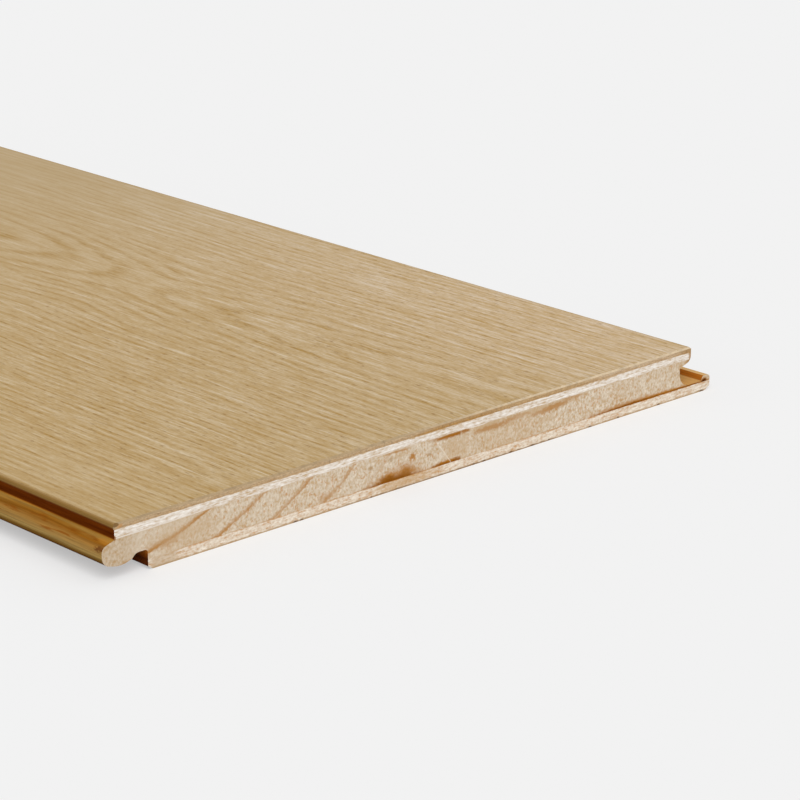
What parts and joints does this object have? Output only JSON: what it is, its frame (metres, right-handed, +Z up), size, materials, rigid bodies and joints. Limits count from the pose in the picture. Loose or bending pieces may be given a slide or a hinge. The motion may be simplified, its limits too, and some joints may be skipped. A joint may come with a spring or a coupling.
{
  "type": "engineered wood floor plank",
  "caption": "Engineered wood floor plank: an oak face, cross plies and a softwood core, with a milled click joint, tongue and notch on one long side, groove and locking lip on the other.",
  "frame": {"origin": "centre of the length on the underside, midway between the tongue's and the groove's joint planes", "axes": "+X along the plank towards the cut end that the picture shows, +Y across it towards the groove and lip, +Z up out of the oak face"},
  "size_m": [1.2, 0.212, 0.014],
  "materials": {
    "oak_face": "matt lacquered oak",
    "poplar_ply": "bare white poplar ply",
    "core_softwood": "bare sawn and milled softwood",
    "backing_ply": "bare softwood ply"
  },
  "bodies": {
    "root": {"oak_face_veneer": "oak_face", "upper_cross_ply": "poplar_ply", "core_slat_tongue_side": "core_softwood", "core_slat_groove_side": "core_softwood", "lower_cross_ply": "backing_ply"}
  },
  "joints": []
}
